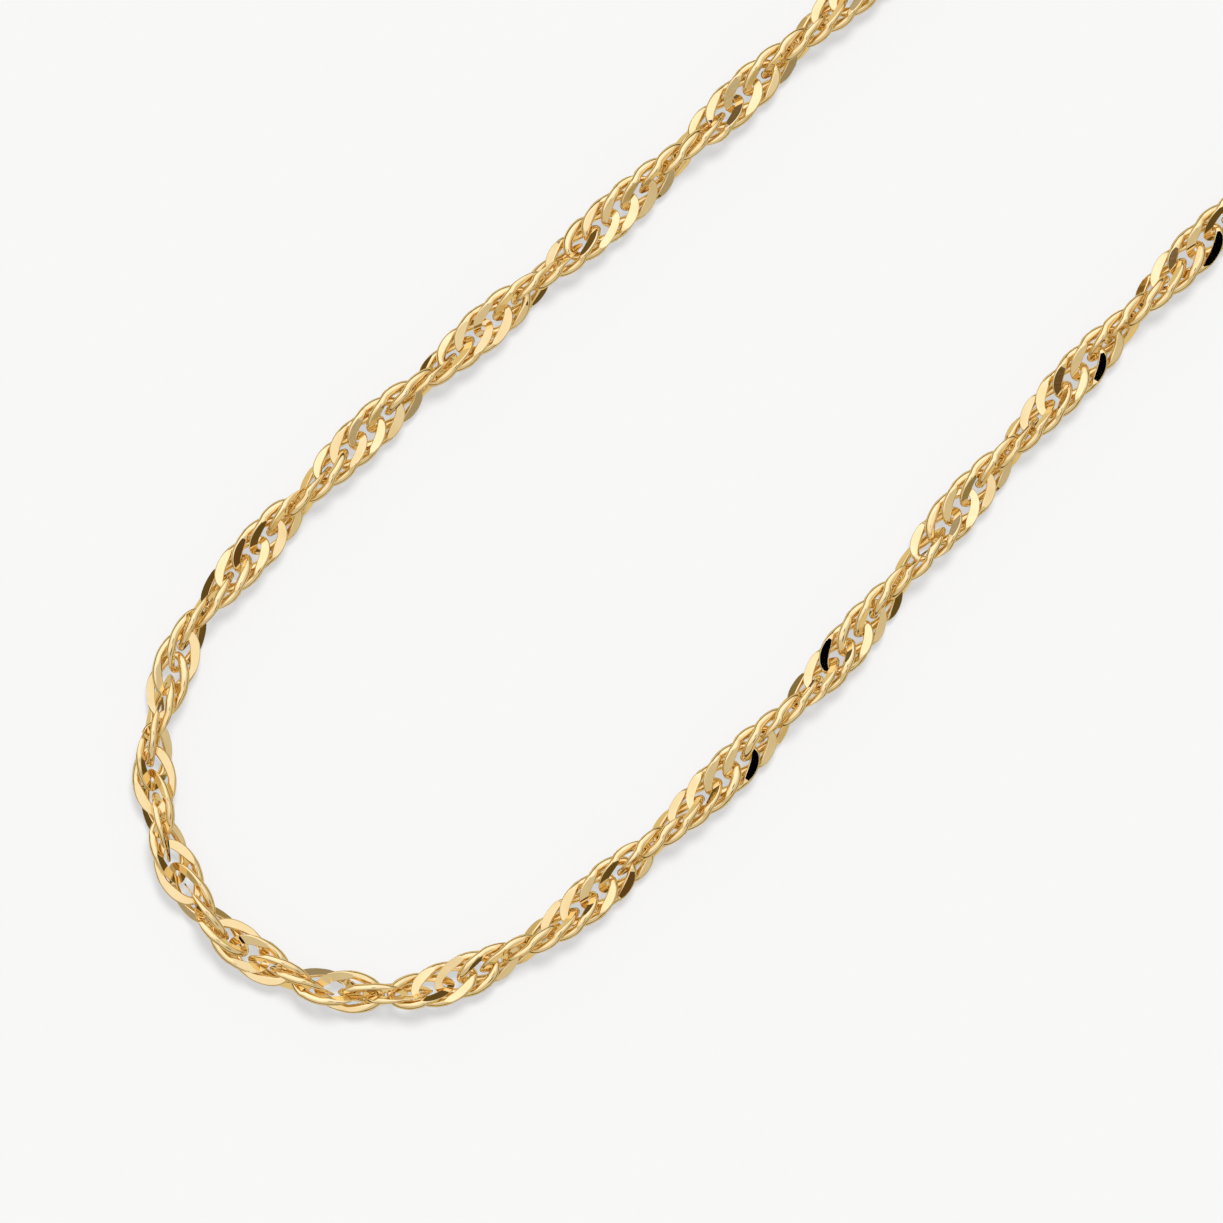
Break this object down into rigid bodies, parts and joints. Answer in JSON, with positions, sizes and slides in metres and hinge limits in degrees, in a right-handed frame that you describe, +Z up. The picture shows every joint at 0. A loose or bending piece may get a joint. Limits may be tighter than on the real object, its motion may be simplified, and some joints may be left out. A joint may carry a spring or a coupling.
{
  "type": "singapore chain necklace",
  "caption": "Fine twisted singapore chain laid out as one long open loop, closed by a plain spring ring clasp on jump rings.",
  "frame": {"origin": "on the surface that the chain lies on, under the middle of the loop's length and width", "axes": "+Z up from the surface, +Y along the loop from its front bend to its clasp, +X across it"},
  "size_m": [0.0376, 0.2141, 0.0035],
  "materials": {
    "chain_gold": "polished, with diamond-cut flats",
    "ring_gold": "polished round wire",
    "clasp_gold": "polished"
  },
  "bodies": {
    "root": {"chain": "chain_gold", "end_link_left": "chain_gold", "end_link_right": "chain_gold", "jump_ring": "ring_gold", "clasp": "clasp_gold", "catch_ring": "ring_gold"}
  },
  "joints": []
}
